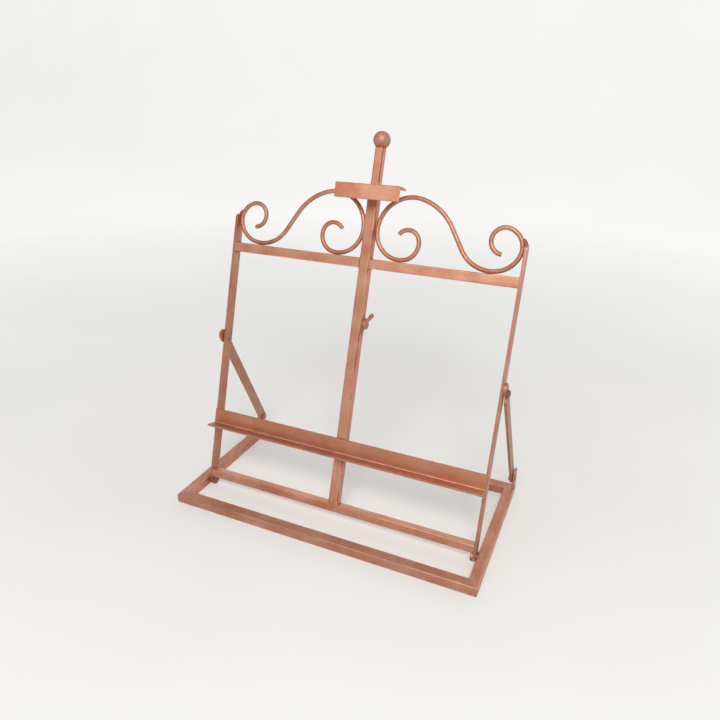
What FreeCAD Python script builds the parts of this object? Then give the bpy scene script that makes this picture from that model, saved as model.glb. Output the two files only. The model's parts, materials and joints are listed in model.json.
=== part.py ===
import FreeCAD, Part
import Sketcher
import math
import os
import re

# Tabletop display easel: a flat base frame, a tilting back frame with a ledge and two
# scrolls, a sliding mast with a page clamp, and two hooked struts that hold the tilt.
#
# Own frame: millimetres, +X to the right of a reader who faces the easel's front, +Y
# from the front to the back, +Z up. The origin is the middle of the base's footprint,
# on the table.
#
# Tilted parts are drawn in the back frame's own axes, where X is the same, Z runs up
# the frame from the tilt pivot and Y runs from its face to its back, and are then
# leaned back about the pivot.

SIZES = [
    ("base_width", 375.0, "base footprint across"),
    ("base_depth", 197.0, "base footprint, front to back"),
    ("bar_size", 12.0, "square tube of base and post"),
    ("tube_wall", 1.0, "wall of every tube"),
    ("tube_corner", 1.5, "rounding of the tubes' long edges"),
    ("pivot_back", 52.3, "tilt pivot behind the base's front face"),
    ("pivot_height", 6.0, "tilt pivot above the table"),
    ("lean_angle", 16.8, "back frame's lean from upright, degrees"),
    ("frame_width", 347.0, "back frame across its uprights"),
    ("upright_thick", 3.0, "upright's flat bar, thickness"),
    ("upright_depth", 13.0, "upright's flat bar, width"),
    ("upright_top", 337.6, "top of the uprights above the pivot"),
    ("upright_crown", 5.5, "rounding of the upright's top"),
    ("upright_toe", 5.5, "upright's foot, half its width"),
    ("toe_round", 5.4, "rounding of the upright's foot"),
    ("upright_taper", 11.0, "height where the upright is full width"),
    ("low_bar_bottom", 5.1, "lower crossbar's underside above the pivot"),
    ("low_bar_height", 9.5, "lower crossbar's height"),
    ("top_bar_bottom", 292.6, "upper crossbar's underside above the pivot"),
    ("top_bar_height", 11.0, "upper crossbar's height"),
    ("post_top", 378.3, "top of the post above the pivot"),
    ("wire_radius", 2.5, "round wire of the scrolls"),
    ("scroll_gap", 0.1, "weld gap between a scroll and the bars it meets"),
    ("ledge_width", 346.6, "ledge across"),
    ("ledge_bottom", 75.3, "underside of the ledge above the pivot"),
    ("ledge_height", 20.0, "ledge's flange against the frame"),
    ("ledge_reach", 17.0, "ledge's flange that carries the book"),
    ("ledge_thick", 2.4, "ledge's thickness"),
    ("ledge_fillet", 1.5, "rounding inside the ledge's corner"),
    ("slide_size", 9.6, "sliding mast, square bar"),
    ("slide_bottom", 100.0, "foot of the mast inside the post"),
    ("slide_top", 424.0, "top of the mast"),
    ("ball_radius", 9.5, "ball finial"),
    ("ball_seat", 0.82, "ball's centre above its flat seat, as a share of its radius"),
    ("clamp_width", 75.2, "page clamp across"),
    ("clamp_top", 381.4, "top of the page clamp"),
    ("clamp_height", 16.4, "clamp's front plate"),
    ("clamp_reach", 20.2, "clamp's flange, mast to outside of plate"),
    ("clamp_thick", 2.0, "clamp's thickness"),
    ("clamp_bend", 1.6, "rounding outside the clamp's bend"),
    ("pin_radius", 2.5, "strut studs and rivets"),
    ("running_gap", 0.05, "radial clearance of a turning fit"),
    ("screw_radius", 3.0, "M6 pivot bolts and clamp screw"),
    ("bolt_flats", 10.0, "M6 bolt head across flats"),
    ("bolt_head", 3.0, "M6 bolt head's thickness"),
    ("washer_radius", 5.5, "M6 spacer washer"),
    ("washer_thick", 1.7, "spacer washer's thickness"),
    ("washer_play", 0.2, "gap between the spacer washer and the upright"),
    ("screw_height", 231.0, "mast clamp screw above the pivot"),
    ("screw_tip_gap", 0.1, "clamp screw's tip short of the mast, when slack"),
    ("boss_radius", 6.9, "threaded boss on the post's side"),
    ("boss_thick", 1.4, "boss's thickness"),
    ("hub_radius", 6.3, "hub of the clamp screw's handle"),
    ("hub_length", 3.2, "hub's length"),
    ("hub_gap", 0.3, "gap between the boss and the hub"),
    ("wing_reach", 18.0, "handle's wing tip from the screw's axis"),
    ("wing_flare", 2.4, "wing tip's shift out from the hub's end"),
    ("wing_width", 4.8, "wing's width at its tip"),
    ("wing_thick", 3.0, "wing's thickness"),
    ("wing_round", 2.1, "rounding of the wing's tip"),
    ("wing_root", 5.7, "wing's root from the screw's axis, inside the hub"),
    ("wing_inset", 0.2, "wing's root in from the hub's ends"),
    ("wing_angle", 55.0, "upper wing's tilt back from the frame's direction, degrees"),
    ("stud_height", 183.4, "strut stud above the pivot"),
    ("stud_head_start", 178.4, "underside of the stud's head from the middle"),
    ("stud_head_radius", 5.0, "domed head of the strut stud"),
    ("stud_head_height", 2.5, "dome's height"),
    ("collar_radius", 4.5, "collar between upright and strut"),
    ("collar_thick", 0.6, "collar's thickness"),
    ("strut_top_x", 176.0, "strut's mid-plane at the stud, from the middle"),
    ("strut_foot_x", 183.1, "strut's mid-plane at its rivet, from the middle"),
    ("strut_thick", 3.0, "strut's flat bar, thickness"),
    ("strut_width", 13.0, "strut's flat bar, width"),
    ("hook_length", 14.5, "strut's end beyond the stud"),
    ("slot_gap", 0.5, "play of the stud in the hook's slot"),
    ("slot_slope", 35.0, "fall of the slot's lower wall, degrees"),
    ("rivet_back", 189.1, "strut's rivet behind the base's front face"),
    ("rivet_height", 26.0, "strut's rivet above the table"),
    ("rivet_head_start", 181.2, "rivet head's outer face from the middle"),
    ("rivet_head_radius", 4.4, "rivet's inner head"),
    ("rivet_head_thick", 1.8, "inner head's thickness"),
    ("rivet_dome_height", 1.0, "rivet's low dome outside the lug"),
    ("lug_thick", 2.4, "lug's thickness"),
    ("lug_width", 13.0, "lug's width"),
    ("lug_crown", 14.0, "lug's top above its rivet"),
    ("lug_round", 6.0, "rounding of the lug's top"),
]

# The scroll's centreline as tangent arcs, from the tip of the outer curl to the tip of
# the inner one: (radius, turn in degrees, clockwise negative), and the straight run
# between its two halves.
SCROLL_START_ANGLE = 174.5
OUTER_CURL = [(13.8, -187.0), (20.5, -98.5), (27.8, -55.3), (38.0, -72.0)]
STRAIGHT_RUN = 25.5
INNER_CURL = [(60.5, 43.9), (38.0, 110.0), (29.0, 96.0), (18.5, 95.0), (12.8, 130.0)]

doc = FreeCAD.newDocument("display_easel")
sheet = doc.addObject("Spreadsheet::Sheet", "Sizes")
for row, (alias, value, note) in enumerate(SIZES, start=1):
    sheet.set(f"A{row}", note)
    sheet.set(f"B{row}", str(value))
    sheet.setAlias(f"B{row}", alias)
doc.recompute()

ALIASES = {alias for alias, value, note in SIZES}
SIZE = {alias: value for alias, value, note in SIZES}
PARTS = []

# How near an edge has to be to the place it is looked for, and how straight along an axis.
NEAR = 0.1
PARALLEL = 0.999

# Shared lengths, written with the sheet's names.
UPRIGHT_INNER = "(frame_width / 2 - upright_thick)"
BAR_INNER = "(base_width / 2 - bar_size)"
FACE = "(upright_depth / 2)"
POST_MIDDLE = "(upright_depth / 2 - bar_size / 2)"
PIVOT_Y = "(pivot_back - base_depth / 2)"
RIVET_Y = "(rivet_back - base_depth / 2)"
STUD_Y = "(pivot_back + stud_height * sin(lean_angle * 1deg))"
STUD_Z = "(pivot_height + stud_height * cos(lean_angle * 1deg))"
STRUT_RUN = f"(rivet_back - {STUD_Y})"
STRUT_RISE = f"({STUD_Z} - rivet_height)"
STRUT_SPREAD = "(strut_foot_x - strut_top_x)"
STRUT_SIDE = f"sqrt({STRUT_RUN} ^ 2 + {STRUT_RISE} ^ 2)"
STRUT_LENGTH = f"sqrt({STRUT_RUN} ^ 2 + {STRUT_RISE} ^ 2 + {STRUT_SPREAD} ^ 2)"
STRUT_ANGLE = f"atan2({STRUT_RUN}; {STRUT_RISE})"
STRUT_SPLAY = f"atan2({STRUT_SPREAD}; {STRUT_SIDE})"


def sized(text):
    """Point each size's name in an expression at its cell in the sheet."""
    def point(match):
        word = match.group()
        return f"Sizes.{word}" if word in ALIASES else word
    return re.sub(r"[a-z_]+[a-z0-9_]*", point, str(text))


def bind(obj, **properties):
    for name, text in properties.items():
        obj.setExpression(name.replace("__", "."), sized(text))


def number(text):
    return float(sheet.evalExpression(sized(text)))


def place(obj, x=0, y=0, z=0):
    bind(obj, Placement__Base__x=x, Placement__Base__y=y, Placement__Base__z=z)


def turn(obj, axis, angle):
    """Rotate an object about an axis through its own origin."""
    obj.Placement = FreeCAD.Placement(
        FreeCAD.Vector(0, 0, 0), FreeCAD.Rotation(axis, number(angle)))
    bind(obj, Placement__Rotation__Angle=angle)


def lean(obj):
    """Move a part drawn in the back frame's axes to its place on the easel."""
    turn(obj, FreeCAD.Vector(-1, 0, 0), "lean_angle * 1deg")
    place(obj, 0, PIVOT_Y, "pivot_height")


def keep(obj, label):
    obj.Label = label
    PARTS.append(obj)
    return obj


def new_body(name):
    return doc.addObject("PartDesign::Body", name + "_body")


def new_sketch(body, role):
    """A sketch on one of the body's own origin planes."""
    sketch = body.newObject("Sketcher::SketchObject", body.Name + "_sketch")
    plane = [item for item in body.Origin.OriginFeatures if item.Role == role][0]
    sketch.AttachmentSupport = (plane, [""])
    sketch.MapMode = "FlatFace"
    return sketch


def fix_point(sketch, line, end, x, y, tag):
    """Tie a point of the sketch to a pair of sizes, measured from the sketch's origin."""
    for kind, text in (("DistanceX", x), ("DistanceY", y)):
        index = sketch.addConstraint(
            Sketcher.Constraint(kind, -1, 1, line, end, number(text)))
        name = f"{kind[-1].lower()}_{tag}"
        sketch.renameConstraint(index, name)
        sketch.setExpression("Constraints." + name, sized(text))


def draw_outline(sketch, corners):
    """A closed outline of straight lines through corners given as pairs of expressions."""
    points = [FreeCAD.Vector(number(x), number(y), 0) for x, y in corners]
    count = len(points)
    for i in range(count):
        sketch.addGeometry(Part.LineSegment(points[i], points[(i + 1) % count]), False)
    for i in range(count):
        sketch.addConstraint(Sketcher.Constraint("Coincident", i, 2, (i + 1) % count, 1))
    for i, (x, y) in enumerate(corners):
        fix_point(sketch, i, 1, x, y, str(i))


def draw_circle(sketch, x, y, radius):
    circle = Part.Circle(
        FreeCAD.Vector(number(x), number(y), 0), FreeCAD.Vector(0, 0, 1), number(radius))
    index = sketch.addGeometry(circle, False)
    fix_point(sketch, index, 3, x, y, "centre")
    radius_index = sketch.addConstraint(
        Sketcher.Constraint("Radius", index, number(radius)))
    sketch.renameConstraint(radius_index, "radius")
    sketch.setExpression("Constraints.radius", sized(radius))


def pad(body, role, corners, length, middle=False):
    sketch = new_sketch(body, role)
    draw_outline(sketch, corners)
    feature = body.newObject("PartDesign::Pad", body.Name + "_pad")
    feature.Profile = sketch
    feature.Midplane = middle
    bind(feature, Length=length)
    doc.recompute()
    return feature


def cut_through(body, role, draw):
    """Cut a sketched shape right through the body, and check that something went."""
    before = body.Shape.Volume
    sketch = new_sketch(body, role)
    draw(sketch)
    feature = body.newObject("PartDesign::Pocket", body.Name + "_pocket")
    feature.Profile = sketch
    feature.Type = "ThroughAll"
    feature.Midplane = True
    doc.recompute()
    if body.Shape.Volume >= before:
        raise RuntimeError(f"{feature.Name} cuts nothing")
    return feature


def cut_hole(body, role, x, y, radius):
    return cut_through(body, role, lambda sketch: draw_circle(sketch, x, y, radius))


def round_edges(body, radius, wanted):
    """Round the edges of the body's last feature whose middle and direction are wanted.

    radius is the name of a size.
    """
    base = body.Tip
    names = []
    for i, edge in enumerate(base.Shape.Edges, start=1):
        start, end = edge.Vertexes[0].Point, edge.Vertexes[-1].Point
        if wanted((start + end) * 0.5, end - start):
            names.append(f"Edge{i}")
    feature = body.newObject("PartDesign::Fillet", body.Name + "_fillet")
    feature.Base = (base, names)
    bind(feature, Radius=radius)
    doc.recompute()
    return feature


def runs_along(axis):
    """True for an edge direction that is parallel to the axis, 0 for X, 1 for Y, 2 for Z."""
    def test(direction):
        return direction.Length > 0 and abs(direction[axis]) > PARALLEL * direction.Length
    return test


ALONG_X = runs_along(0)
ALONG_Y = runs_along(1)
ALONG_Z = runs_along(2)


def box(name, low, size):
    solid = doc.addObject("Part::Box", name)
    bind(solid, Length=size[0], Width=size[1], Height=size[2])
    place(solid, *low)
    return solid


def cylinder_x(name, low_x, y, z, radius, length):
    """A round bar along X, from low_x."""
    solid = doc.addObject("Part::Cylinder", name)
    solid.Placement = FreeCAD.Placement(
        FreeCAD.Vector(0, 0, 0), FreeCAD.Rotation(FreeCAD.Vector(0, 1, 0), 90))
    bind(solid, Radius=radius, Height=length)
    place(solid, low_x, y, z)
    return solid


def cut(name, base, tool):
    result = doc.addObject("Part::Cut", name)
    result.Base = base
    result.Tool = tool
    return result


def fuse(name, solids):
    result = doc.addObject("Part::MultiFuse", name)
    result.Shapes = solids
    return result


def group(name, solids):
    result = doc.addObject("Part::Compound", name)
    result.Links = solids
    return result


def both_sides(name, right):
    """The right-hand piece and its mirror image, as two solids of one group."""
    left = doc.addObject("Part::Mirroring", name + "_mirrored")
    left.Source = right
    left.Normal = FreeCAD.Vector(1, 0, 0)
    return group(name, [right, left])


# ---------------------------------------------------------------- base

def base_bar(label, length, turn, x, y):
    """One side of the base: square tube with both ends mitred, long face outward."""
    body = new_body(label)
    half = f"({length} / 2)"
    corners = [(f"-{half}", 0), (half, 0), (f"{half} - bar_size", "bar_size"),
               (f"bar_size - {half}", "bar_size")]
    pad(body, "XY_Plane", corners, "bar_size")
    round_edges(body, "tube_corner", lambda middle, direction: ALONG_X(direction))
    hollow_out(body, "YZ_Plane", "bar_size", "bar_size")
    body.Placement = FreeCAD.Placement(
        FreeCAD.Vector(0, 0, 0), FreeCAD.Rotation(FreeCAD.Vector(0, 0, 1), turn))
    place(body, x, y, 0)
    return body


def base_frame():
    """Front and back bars, and side bars whose inner walls have the tilt pivots' holes.

    Each hole's tool is three walls long, centred on the inner face of its bar.
    """
    keep(base_bar("base_front_bar", "base_width", 0, 0, "-base_depth / 2"), "base_front_bar")
    keep(base_bar("base_back_bar", "base_width", 180, 0, "base_depth / 2"), "base_back_bar")
    for label, sign, turn in (("base_right_bar", "", 90), ("base_left_bar", "-", -90)):
        bar = base_bar(label, "base_depth", turn, f"{sign}base_width / 2", 0)
        hole = cylinder_x(label + "_pivot_hole", f"{sign}{BAR_INNER} - 3 * tube_wall / 2",
                          PIVOT_Y, "pivot_height", "screw_radius + running_gap",
                          "3 * tube_wall")
        keep(cut(label, bar, hole), label)


def strut_lug(label, side):
    """Upright tab on the base's side bar, flush outside, with the strut rivet's hole."""
    body = new_body(label)
    half = "lug_width / 2"
    eye = "(rivet_height - bar_size)"
    top = f"{eye} + lug_crown"
    pad(body, "YZ_Plane", [(f"-{half}", 0), (half, 0), (half, top), (f"-{half}", top)],
        "lug_thick")
    crown = number(top)
    round_edges(body, "lug_round",
                lambda middle, direction: ALONG_X(direction) and middle.z > crown - NEAR)
    cut_hole(body, "YZ_Plane", 0, eye, "pin_radius + running_gap")
    low_x = "base_width / 2 - lug_thick" if side > 0 else "-base_width / 2"
    place(body, low_x, RIVET_Y, "bar_size")
    keep(body, label)


def strut_rivets():
    """Rivets that carry the struts: flat head inside the strut, low dome outside the lug."""
    start = "(rivet_head_start - rivet_head_thick)"
    end = "(base_width / 2)"
    head = cylinder_x("rivet_head", start, RIVET_Y, "rivet_height", "rivet_head_radius",
                      "rivet_head_thick")
    shank = cylinder_x("rivet_shank", start, RIVET_Y, "rivet_height", "pin_radius",
                       f"{end} - {start}")
    cap = dome("rivet_dome", end, RIVET_Y, "rivet_height", "rivet_head_radius",
               "rivet_dome_height")
    keep(both_sides("strut_rivets_set", fuse("strut_rivet", [head, shank, cap])),
         "strut_rivets")


def spacer_washers():
    """Thick washers between the uprights and the side bars, on the pivot bolts."""
    low_x = "frame_width / 2 + washer_play"
    disc = cylinder_x("spacer_disc", low_x, PIVOT_Y, "pivot_height", "washer_radius",
                      "washer_thick")
    bore = cylinder_x("spacer_bore", low_x, PIVOT_Y, "pivot_height",
                      "screw_radius + running_gap", "washer_thick")
    keep(both_sides("spacer_washers_set", cut("spacer_washer", disc, bore)),
         "spacer_washers")


# ---------------------------------------------------------------- back frame

def upright(label, side):
    """Flat bar on edge, narrowed and rounded round the tilt pivot, with the stud's hole."""
    body = new_body(label)
    half = "upright_depth / 2"
    corners = [("-upright_toe", "-upright_toe"), ("upright_toe", "-upright_toe"),
               ("upright_toe", 0), (half, "upright_taper"), (half, "upright_top"),
               (f"-{half}", "upright_top"), (f"-{half}", "upright_taper"), ("-upright_toe", 0)]
    pad(body, "YZ_Plane", corners, "upright_thick")
    toe = -SIZE["upright_toe"]
    top = SIZE["upright_top"]
    round_edges(body, "toe_round",
                lambda middle, direction: ALONG_X(direction) and middle.z < toe + NEAR)
    round_edges(body, "upright_crown",
                lambda middle, direction: ALONG_X(direction) and middle.z > top - NEAR)
    cut_hole(body, "YZ_Plane", 0, 0, "screw_radius + running_gap")
    cut_hole(body, "YZ_Plane", 0, "stud_height", "pin_radius + running_gap")
    start = UPRIGHT_INNER if side > 0 else "-frame_width / 2"
    moved = group(label + "_set", [body])
    place(body, start, 0, 0)
    lean(moved)
    keep(moved, label)


def pivot_bolts():
    """Hex bolts through the feet of the uprights, which turn in the side bars' holes."""
    head = new_body("pivot_bolt_head")
    corner = "bolt_flats / sqrt(3)"
    half_corner = "bolt_flats / (2 * sqrt(3))"
    half = "bolt_flats / 2"
    pad(head, "YZ_Plane",
        [(corner, 0), (half_corner, half), (f"-{half_corner}", half), (f"-{corner}", 0),
         (f"-{half_corner}", f"-{half}"), (half_corner, f"-{half}")], "bolt_head")
    place(head, f"{UPRIGHT_INNER} - bolt_head", 0, 0)
    end = f"({BAR_INNER} + bar_size / 2)"
    shank = cylinder_x("pivot_bolt_shank", UPRIGHT_INNER, 0, 0, "screw_radius",
                       f"{end} - {UPRIGHT_INNER}")
    bolts = both_sides("pivot_bolts_set", fuse("pivot_bolt", [head, shank]))
    lean(bolts)
    keep(bolts, "pivot_bolts")


def square_tube(label, role, width, depth, length):
    """A tube of rectangular section, its long edges rounded, open at both ends.

    Its section is drawn from a corner at the body's origin, and it runs from there.
    """
    body = new_body(label)
    pad(body, role, [(0, 0), (width, 0), (width, depth), (0, depth)], length)
    along = ALONG_X if role == "YZ_Plane" else ALONG_Z
    round_edges(body, "tube_corner", lambda middle, direction: along(direction))
    hollow_out(body, role, width, depth)
    return body


def hollow_out(body, role, width, depth):
    """Cut the inside of a tube whose section starts at the body's origin."""
    right = f"{width} - tube_wall"
    top = f"{depth} - tube_wall"
    hollow = [("tube_wall", "tube_wall"), (right, "tube_wall"), (right, top),
              ("tube_wall", top)]
    cut_through(body, role, lambda sketch: draw_outline(sketch, hollow))


def crossbar(label, low_x, bottom, height, length):
    bar = square_tube(label, "YZ_Plane", "bar_size", height, length)
    place(bar, low_x, f"-{FACE}", bottom)
    moved = group(label + "_set", [bar])
    lean(moved)
    keep(moved, label)


def crossbars():
    """Lower bar across the whole frame, upper bar in two halves that meet the post."""
    crossbar("lower_crossbar", f"-{UPRIGHT_INNER}", "low_bar_bottom", "low_bar_height",
             f"2 * {UPRIGHT_INNER}")
    half = f"({UPRIGHT_INNER} - bar_size / 2)"
    for label, low_x in (("upper_crossbar_right", "bar_size / 2"),
                         ("upper_crossbar_left", f"-{UPRIGHT_INNER}")):
        crossbar(label, low_x, "top_bar_bottom", "top_bar_height", half)


def centre_post():
    """Square tube that stands on the lower crossbar and guides the mast.

    Its right wall has the clamp screw's hole.
    """
    bottom = "(low_bar_bottom + low_bar_height)"
    tube = square_tube("center_post", "XY_Plane", "bar_size", "bar_size",
                       f"post_top - {bottom}")
    place(tube, "-bar_size / 2", f"-{FACE}", bottom)
    hole = cylinder_x("post_screw_hole", 0, f"-{POST_MIDDLE}", "screw_height",
                      "screw_radius + running_gap", "bar_size")
    post = cut("center_post", tube, hole)
    lean(post)
    keep(post, "center_post")


def arc_after(point, heading, radius, turn):
    """The arc that leaves point along heading, and the point and heading at its end."""
    side = math.copysign(1.0, turn)
    to_centre = heading + side * math.pi / 2
    centre = point + FreeCAD.Vector(math.cos(to_centre), 0, math.sin(to_centre)) * radius
    swing = math.radians(turn)

    def at(share):
        angle = to_centre + math.pi + swing * share
        return centre + FreeCAD.Vector(math.cos(angle), 0, math.sin(angle)) * radius
    return Part.Arc(at(0), at(0.5), at(1)).toShape(), at(1), heading + swing


def scroll_path():
    """The right-hand scroll's centreline, set down on the crossbar beside the upright."""
    point = FreeCAD.Vector(0, 0, 0)
    heading = math.radians(SCROLL_START_ANGLE)
    start_heading = heading
    edges = []
    for radius, turn in OUTER_CURL:
        edge, point, heading = arc_after(point, heading, radius, turn)
        edges.append(edge)
    end = point + FreeCAD.Vector(math.cos(heading), 0, math.sin(heading)) * STRAIGHT_RUN
    edges.append(Part.LineSegment(point, end).toShape())
    point = end
    for radius, turn in INNER_CURL:
        edge, point, heading = arc_after(point, heading, radius, turn)
        edges.append(edge)
    path = Part.Wire(edges)
    bounds = path.optimalBoundingBox()
    clear = number("wire_radius + scroll_gap")
    to_x = number(UPRIGHT_INNER) - clear - bounds.XMax
    to_z = number("top_bar_bottom + top_bar_height") + clear - bounds.ZMin
    path.translate(FreeCAD.Vector(to_x, 0, to_z))
    return path, start_heading


def scrolls():
    """Two mirrored S-scrolls of round wire on the upper crossbar."""
    path, heading = scroll_path()
    spine = doc.addObject("Part::Feature", "scroll_spine")
    spine.Shape = path
    start = path.OrderedVertexes[0].Point
    profile = doc.addObject("Part::Circle", "scroll_section")
    bind(profile, Radius="wire_radius")
    profile.Placement = FreeCAD.Placement(
        start, FreeCAD.Rotation(FreeCAD.Vector(0, 0, 1),
                                FreeCAD.Vector(math.cos(heading), 0, math.sin(heading))))
    sweep = doc.addObject("Part::Sweep", "scroll_sweep")
    sweep.Sections = [profile]
    sweep.Spine = (spine, [f"Edge{i + 1}" for i in range(len(path.Edges))])
    sweep.Solid = True
    sweep.Frenet = False
    mirrored = doc.addObject("Part::Mirroring", "scroll_mirrored")
    mirrored.Source = sweep
    mirrored.Normal = FreeCAD.Vector(1, 0, 0)
    for label, source in (("right_scroll", sweep), ("left_scroll", mirrored)):
        moved = group(label + "_set", [source])
        lean(moved)
        keep(moved, label)


def angle_bar(label, y_back, bottom, height, reach, thick, width, flange_low):
    """An L-section along X: an upright plate and a flange square to it.

    y_back is the back of the whole section. With flange_low the flange runs forward
    from the foot of a plate at the back; otherwise it runs back from the head of a
    plate at the front.
    """
    front = f"({y_back} - {reach})"
    top = f"({bottom} + {height})"
    if flange_low:
        corners = [(y_back, bottom), (y_back, top), (f"{y_back} - {thick}", top),
                   (f"{y_back} - {thick}", f"{bottom} + {thick}"),
                   (front, f"{bottom} + {thick}"), (front, bottom)]
    else:
        corners = [(y_back, top), (front, top), (front, bottom), (f"{front} + {thick}", bottom),
                   (f"{front} + {thick}", f"{top} - {thick}"), (y_back, f"{top} - {thick}")]
    body = new_body(label)
    pad(body, "YZ_Plane", corners, width, middle=True)
    moved = group(label + "_set", [body])
    lean(moved)
    return moved, body


def ledge():
    moved, body = angle_bar("ledge_angle", f"-{FACE}", "ledge_bottom", "ledge_height",
                            "ledge_reach", "ledge_thick", "ledge_width", True)
    inner_y = -number(FACE) - SIZE["ledge_thick"]
    inner_z = SIZE["ledge_bottom"] + SIZE["ledge_thick"]
    round_edges(body, "ledge_fillet", lambda middle, direction: ALONG_X(direction)
                and abs(middle.y - inner_y) < NEAR and abs(middle.z - inner_z) < NEAR)
    keep(moved, "ledge_angle")


def dome(name, low_x, y, z, radius, height):
    """A shallow domed head along +X: a slice of a sphere."""
    ball = doc.addObject("Part::Sphere", name)
    sphere = f"(({radius}) ^ 2 + ({height}) ^ 2) / (2 * ({height}))"
    bind(ball, Radius=sphere, Angle1=f"asin(1 - ({height}) / ({sphere}))")
    ball.Placement = FreeCAD.Placement(
        FreeCAD.Vector(0, 0, 0), FreeCAD.Rotation(FreeCAD.Vector(0, 1, 0), 90))
    place(ball, f"{low_x} + {height} - {sphere}", y, z)
    return ball


def strut_studs():
    """Domed studs through the uprights, and the collars that stand the struts off."""
    shank = cylinder_x("strut_stud_shank", UPRIGHT_INNER, 0, "stud_height", "pin_radius",
                       f"stud_head_start - {UPRIGHT_INNER}")
    head = dome("strut_stud_head", "stud_head_start", 0, "stud_height", "stud_head_radius",
                "stud_head_height")
    studs = both_sides("strut_studs_set", fuse("strut_stud", [shank, head]))
    lean(studs)
    keep(studs, "strut_studs")
    ring = cylinder_x("collar_outer", "frame_width / 2", 0, "stud_height", "collar_radius",
                      "collar_thick")
    bore = cylinder_x("collar_bore", "frame_width / 2", 0, "stud_height",
                      "pin_radius + running_gap", "collar_thick")
    collars = both_sides("stud_collars_set", cut("stud_collar", ring, bore))
    lean(collars)
    keep(collars, "stud_collars")


def screw_boss():
    """Threaded boss welded to the post's right side, which the clamp screw runs in."""
    disc = cylinder_x("boss_disc", "bar_size / 2", f"-{POST_MIDDLE}", "screw_height",
                      "boss_radius", "boss_thick")
    bore = cylinder_x("boss_bore", "bar_size / 2", f"-{POST_MIDDLE}", "screw_height",
                      "screw_radius + running_gap", "boss_thick")
    boss = cut("screw_boss", disc, bore)
    lean(boss)
    keep(boss, "screw_boss")


# ---------------------------------------------------------------- mast

def mast():
    """Square bar in the post, with the ball on top and the page clamp across it."""
    half = "slide_size / 2"
    bar = box("mast_bar", (f"-{half}", f"-{POST_MIDDLE} - {half}", "slide_bottom"),
              ("slide_size", "slide_size", "slide_top - slide_bottom"))
    moved = group("slide_bar_set", [bar])
    lean(moved)
    keep(moved, "slide_bar")
    ball = doc.addObject("Part::Sphere", "ball")
    bind(ball, Radius="ball_radius", Angle1="-asin(ball_seat)")
    place(ball, 0, f"-{POST_MIDDLE}", "slide_top + ball_seat * ball_radius")
    finial = group("ball_finial_set", [ball])
    lean(finial)
    keep(finial, "ball_finial")
    moved, body = angle_bar("clamp_angle", f"(-{POST_MIDDLE} - {half})",
                            "(clamp_top - clamp_height)", "clamp_height", "clamp_reach",
                            "clamp_thick", "clamp_width", False)
    outer_y = number(f"-{POST_MIDDLE} - {half} - clamp_reach")
    top = SIZE["clamp_top"]
    round_edges(body, "clamp_bend", lambda middle, direction: ALONG_X(direction)
                and abs(middle.y - outer_y) < NEAR and abs(middle.z - top) < NEAR)
    keep(moved, "clamp_angle")


# ---------------------------------------------------------------- clamp screw

def clamp_screw():
    """Screw that bears on the mast's right side, and its butterfly handle."""
    tip = "(slide_size / 2 + screw_tip_gap)"
    hub_start = "(bar_size / 2 + boss_thick + hub_gap)"
    rod = cylinder_x("screw_rod", tip, f"-{POST_MIDDLE}", "screw_height", "screw_radius",
                     f"{hub_start} - {tip}")
    screw = group("screw_shank_set", [rod])
    lean(screw)
    keep(screw, "screw_shank")
    hub = cylinder_x("handle_hub", hub_start, f"-{POST_MIDDLE}", "screw_height",
                     "hub_radius", "hub_length")
    wings = new_body("handle_wings")
    hub_end = f"({hub_start} + hub_length)"
    tip_out = f"({hub_end} + wing_flare)"
    tip_in = f"({tip_out} - wing_width)"
    root_out = f"({hub_end} - wing_inset)"
    root_in = f"({hub_start} + wing_inset)"
    pad(wings, "XZ_Plane",
        [(tip_in, "wing_reach"), (tip_out, "wing_reach"), (root_out, "wing_root"),
         (root_out, "-wing_root"), (tip_out, "-wing_reach"), (tip_in, "-wing_reach"),
         (root_in, "-wing_root"), (root_in, "wing_root")],
        "wing_thick", middle=True)
    reach = SIZE["wing_reach"]
    round_edges(wings, "wing_round",
                lambda middle, direction: ALONG_Y(direction) and abs(middle.z) > reach - NEAR)
    turn(wings, FreeCAD.Vector(-1, 0, 0), "wing_angle * 1deg")
    place(wings, 0, f"-{POST_MIDDLE}", "screw_height")
    handle = fuse("wing_handle", [hub, wings])
    lean(handle)
    keep(handle, "wing_handle")


# ---------------------------------------------------------------- struts

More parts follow.
